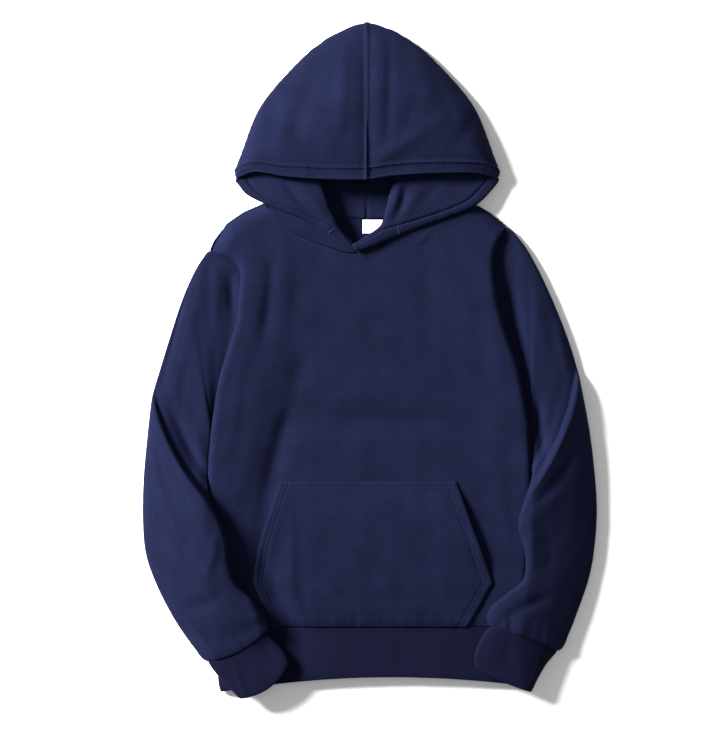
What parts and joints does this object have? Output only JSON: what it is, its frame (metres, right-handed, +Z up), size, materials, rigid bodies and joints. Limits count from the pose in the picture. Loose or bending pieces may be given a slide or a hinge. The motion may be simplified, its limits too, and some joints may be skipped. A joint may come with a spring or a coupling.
{
  "type": "pullover hoodie",
  "caption": "Pullover hoodie laid flat on its back, hood spread above the shoulders, sleeves folded in over the body, with a pouch pocket, ribbed cuffs and a waist band.",
  "frame": {"origin": "middle of the laid garment's outline, on the surface it rests on", "axes": "+Z up out of the surface, from the back to the front of the garment; +Y towards the hood; +X towards the wearer's left"},
  "size_m": [0.6602, 0.9809, 0.0516],
  "materials": {
    "back_panel": "matt fleece knit, brushed inside",
    "cuff_left": "matt fine rib knit",
    "cuff_right": "matt fine rib knit",
    "front_panel": "matt fleece knit, brushed inside",
    "hood_left": "matt fleece knit, brushed inside",
    "hood_right": "matt fleece knit, brushed inside",
    "neck_label": "matt woven tape",
    "pouch_pocket": "matt fleece knit, brushed inside",
    "sleeve_left": "matt fleece knit, brushed inside",
    "sleeve_right": "matt fleece knit, brushed inside",
    "waist_band": "matt fine rib knit"
  },
  "bodies": {
    "root": {"back_panel": "back_panel", "cuff_left": "cuff_left", "cuff_right": "cuff_right", "front_panel": "front_panel", "hood_left": "hood_left", "hood_right": "hood_right", "neck_label": "neck_label", "pouch_pocket": "pouch_pocket", "sleeve_left": "sleeve_left", "sleeve_right": "sleeve_right", "waist_band": "waist_band"}
  },
  "joints": []
}
